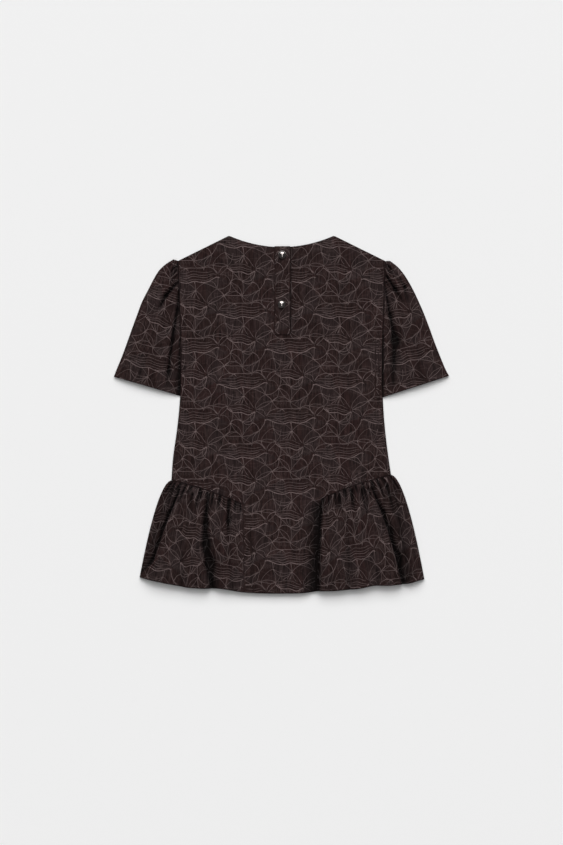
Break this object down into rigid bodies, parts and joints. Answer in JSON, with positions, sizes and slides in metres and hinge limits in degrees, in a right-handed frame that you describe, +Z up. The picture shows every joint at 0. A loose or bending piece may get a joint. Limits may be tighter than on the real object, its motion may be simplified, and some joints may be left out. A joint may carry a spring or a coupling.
{
  "type": "peplum top",
  "caption": "Short-sleeved jacquard top laid flat on its front, with puffed sleeves, a peplum gathered at the sides and a buttoned placket at the back neck.",
  "frame": {"origin": "on the surface that the garment lies on, under the middle of its outline", "axes": "+X to the right as the back is seen from above, +Y from the hem to the neck, +Z up, out of the back"},
  "size_m": [0.5436, 0.58, 0.0122],
  "materials": {
    "jacquard": "dark brown jacquard with a slightly lighter crackle of fine lines and a soft sheen",
    "button_metal": "polished dark gunmetal"
  },
  "bodies": {
    "root": {"front_body": "jacquard", "back_body": "jacquard", "front_peplum_left": "jacquard", "front_peplum_right": "jacquard", "back_peplum_left": "jacquard", "back_peplum_right": "jacquard", "sleeve_left": "jacquard", "sleeve_right": "jacquard", "placket_under": "jacquard", "placket_over": "jacquard", "button_upper": "button_metal", "button_lower": "button_metal"}
  },
  "joints": []
}
